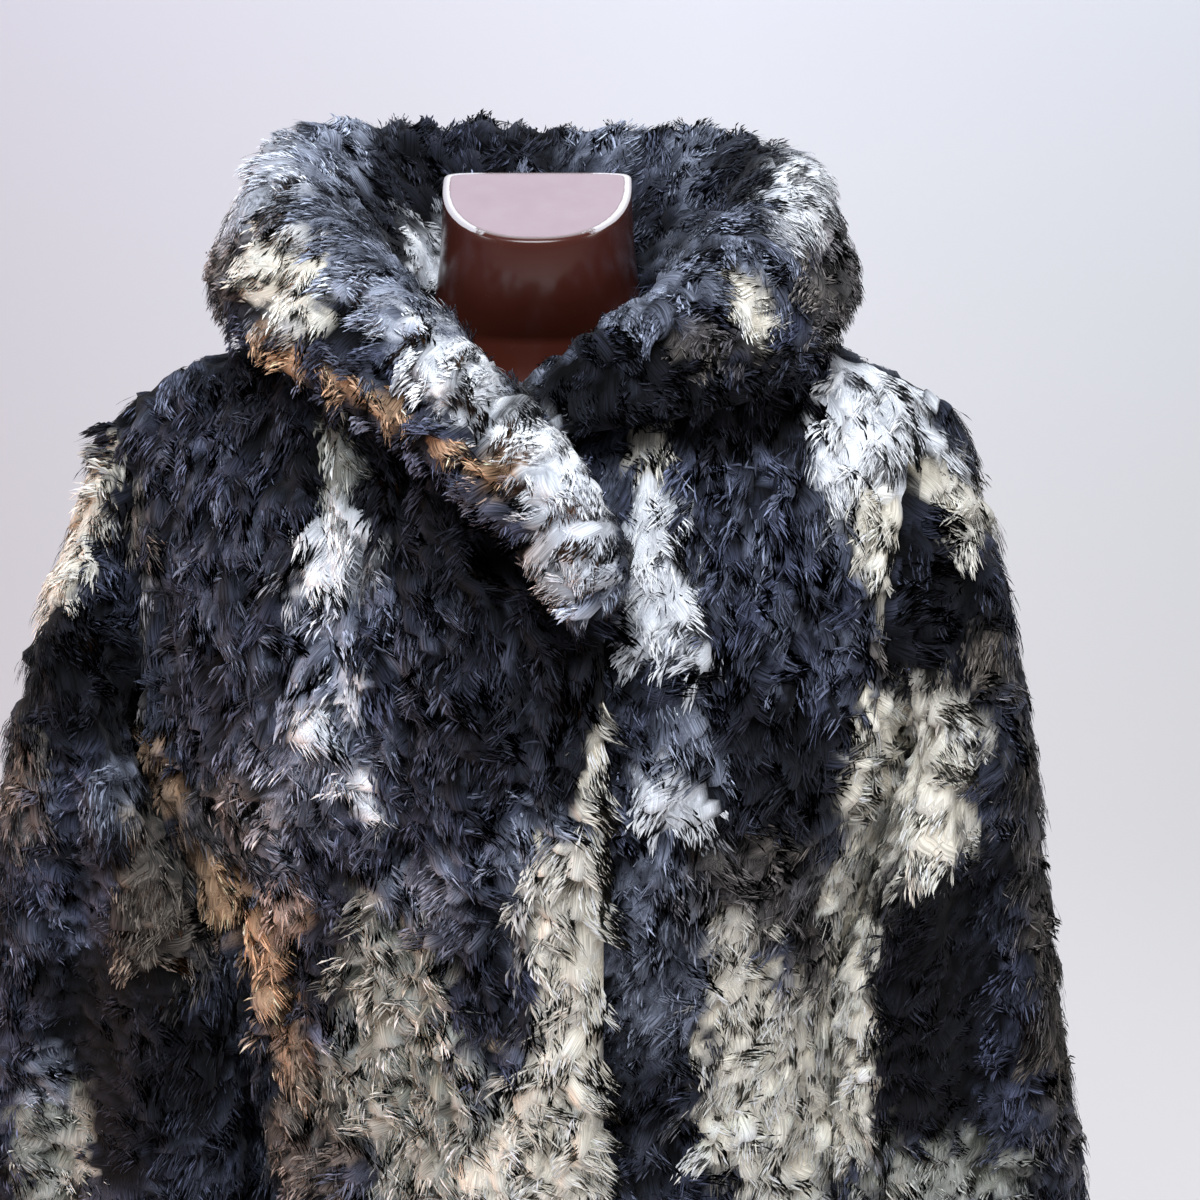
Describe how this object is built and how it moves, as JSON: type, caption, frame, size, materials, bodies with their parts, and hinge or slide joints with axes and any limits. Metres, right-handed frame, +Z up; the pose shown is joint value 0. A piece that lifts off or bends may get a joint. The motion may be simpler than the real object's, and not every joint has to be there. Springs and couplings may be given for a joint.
{
  "type": "faux fur pea coat on a dress form",
  "caption": "Shaggy two-front coat with a wide rolled collar and open sleeves, hung on a limbless dress form with a pole stand and round base.",
  "frame": {"origin": "on the floor, at the centre of the underside of the stand's round base, under the pole", "axes": "+Z up along the pole; the front of the coat faces -Y and the wearer's right side is at -X"},
  "size_m": [0.7572, 0.3645, 1.338],
  "materials": {
    "charcoal_fur": "shaggy curly pile, charcoal with paler tips and cream patches",
    "collar_fur": "shaggy curly pile, grey and cream",
    "under_collar_fur": "pressed dark pile",
    "brown_plastic": "glossy red-brown",
    "bright_steel": "satin",
    "painted_base": "satin grey paint"
  },
  "bodies": {
    "root": {"back": "charcoal_fur", "front_right": "charcoal_fur", "front_left": "charcoal_fur", "sleeve_right": "charcoal_fur", "sleeve_left": "charcoal_fur", "collar_upper": "collar_fur", "collar_under": "under_collar_fur", "dress_form": "brown_plastic", "stand_pole": "bright_steel", "stand_socket": "bright_steel", "stand_base": "painted_base"}
  },
  "joints": []
}
